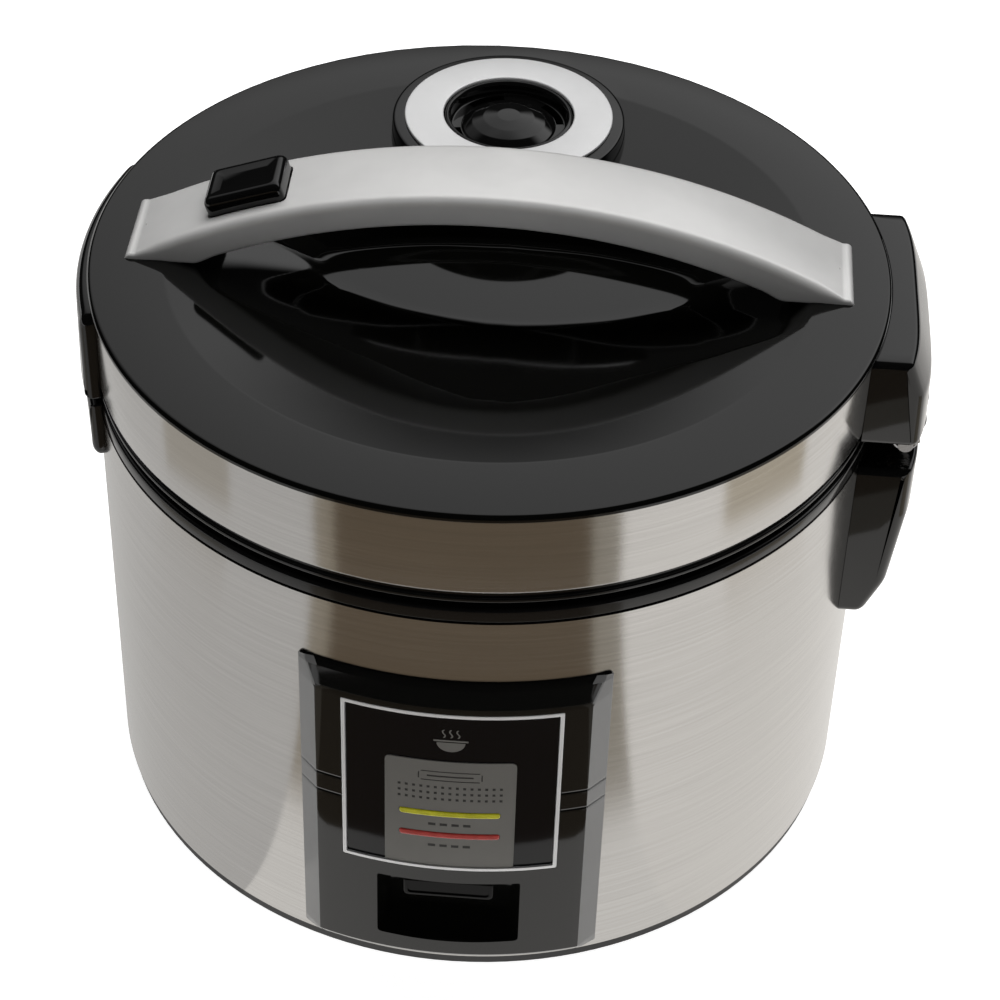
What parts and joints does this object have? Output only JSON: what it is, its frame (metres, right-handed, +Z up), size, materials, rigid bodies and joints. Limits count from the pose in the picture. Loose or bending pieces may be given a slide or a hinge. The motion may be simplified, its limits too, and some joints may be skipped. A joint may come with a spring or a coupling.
{
  "type": "rice cooker",
  "caption": "Lidded electric rice cooker: brushed steel drum, hinged black lid with an arched silver carry handle, steam vent and a lever switch panel.",
  "frame": {"origin": "in the plane that the feet stand on, in the middle of the outline from the latch cover to the hinge cover, 5.25 mm from the drum's axis towards the hinge", "axes": "+Z up, -Y towards the front panel, +X towards the lid's hinge, -X towards its latch"},
  "size_m": [0.2845, 0.2715, 0.2393],
  "materials": {
    "drum_steel": "horizontally brushed, satin",
    "gloss_black": "moulded, high gloss",
    "lid_gloss": "moulded, high gloss",
    "satin_black": "moulded, satin",
    "matte_black": "moulded, fine texture",
    "foot_rubber": "moulded",
    "screw_steel": "zinc plated",
    "galvanised_sheet": "galvanised",
    "cast_aluminium": "machined casting",
    "element_steel": "oxidised",
    "bright_sheet": "bright",
    "spring_steel": "drawn wire",
    "cream_plastic": "moulded",
    "board_green": "resin board",
    "lamp_glass": "clear envelope",
    "lens_yellow": "tinted, clear",
    "lens_red": "tinted, clear",
    "silver_trim": "satin silver lacquer",
    "handle_silver": "satin silver lacquer",
    "silver_card": "printed silver foil",
    "panel_navy": "printed film",
    "wire_insulation": "silicone insulation",
    "pin_brass": "bright",
    "pot_coating": "grey non-stick coating inside, bare outside",
    "seal_silicone": "translucent silicone"
  },
  "bodies": {
    "base": {"outer_shell": "drum_steel", "base_tray": "matte_black", "rubber_feet": "foot_rubber", "base_screws": "screw_steel", "upper_collar": "satin_black", "heat_shield": "galvanised_sheet", "heating_plate": "cast_aluminium", "heating_element": "element_steel", "support_posts": "galvanised_sheet", "plate_spacers": "galvanised_sheet", "thermostat_spring": "spring_steel", "guide_plate": "galvanised_sheet", "lever_bracket": "galvanised_sheet", "lever_pivot_pin": "screw_steel", "micro_switch": "matte_black", "thermal_fuse": "cream_plastic", "warming_band": "cream_plastic", "lamp_board": "board_green", "indicator_lamps": "lamp_glass", "warm_lens": "lens_yellow", "cook_lens": "lens_red", "control_panel": "gloss_black", "panel_frame": "silver_trim", "panel_face": "panel_navy", "panel_card": "silver_card", "terminal_block": "cream_plastic", "wiring": "wire_insulation", "power_inlet": "matte_black", "inlet_pins": "pin_brass", "inlet_screws": "screw_steel", "hinge_bracket": "gloss_black", "hinge_pin": "spring_steel", "hinge_springs": "spring_steel", "latch_keeper": "gloss_black"},
    "pot": {"inner_pot": "pot_coating"},
    "thermostat": {"thermostat_cup": "bright_sheet"},
    "lever": {"lever_arm": "galvanised_sheet", "cook_lever": "gloss_black"},
    "magnet": {"magnet_rod": "element_steel"},
    "vent": {"vent_cap": "gloss_black"},
    "button": {"release_button": "gloss_black"},
    "slider": {"latch_slider": "cream_plastic"},
    "lid": {"lid_cover": "lid_gloss", "lid_band": "drum_steel", "lid_skirt": "satin_black", "lid_liner": "matte_black", "lid_screws": "screw_steel", "hinge_cover": "gloss_black", "latch_cover": "gloss_black", "carry_handle": "handle_silver", "handle_screws": "screw_steel", "vent_ring": "silver_trim", "vent_cup": "satin_black", "vent_seal": "seal_silicone", "latch_spring": "spring_steel", "button_spring": "spring_steel", "inner_lid": "bright_sheet", "lid_gasket": "seal_silicone", "inner_lid_knob": "seal_silicone"}
  },
  "joints": [
    {"name": "lid_hinge", "type": "hinge", "parent": "base", "child": "lid", "pos_m": [0.13475, 0, 0.168], "axis": [0, 1, 0], "range_deg": [0, 90]},
    {"name": "release_button", "type": "slide", "parent": "lid", "child": "button", "axis": [0.3297, 0, -0.9441], "range_m": [0, 0.003], "stiffness_N_per_m": 500, "deforming": ["button_spring"]},
    {"name": "latch_slide", "type": "slide", "parent": "lid", "child": "slider", "axis": [1, 0, 0], "range_m": [0, 0.0025], "deforming": ["latch_spring"]},
    {"name": "cook_lever", "type": "hinge", "parent": "base", "child": "lever", "pos_m": [-0.00525, -0.075, 0.014], "axis": [1, 0, 0], "range_deg": [0, 6], "stiffness_Nm_per_rad": 0.3, "springref_deg": -8.59},
    {"name": "magnet_rise", "type": "slide", "parent": "base", "child": "magnet", "axis": [0, 0, 1], "range_m": [0, 0.0079]},
    {"name": "thermostat_press", "type": "slide", "parent": "base", "child": "thermostat", "axis": [0, 0, -1], "range_m": [0, 0.003], "stiffness_N_per_m": 400, "springref_m": -0.002, "deforming": ["thermostat_spring"]},
    {"name": "pot_turn", "type": "hinge", "parent": "base", "child": "pot", "pos_m": [-0.00525, 0, 0.045], "axis": [0, 0, 1], "continuous": true},
    {"name": "vent_cap_lift", "type": "slide", "parent": "lid", "child": "vent", "axis": [0, 0, 1], "range_m": [0, 0.012]}
  ],
  "couplings": [
    {"joint": "latch_slide", "follows": "release_button", "ratio": 0.83},
    {"joint": "magnet_rise", "follows": "cook_lever", "m_per_rad": 0.075}
  ]
}
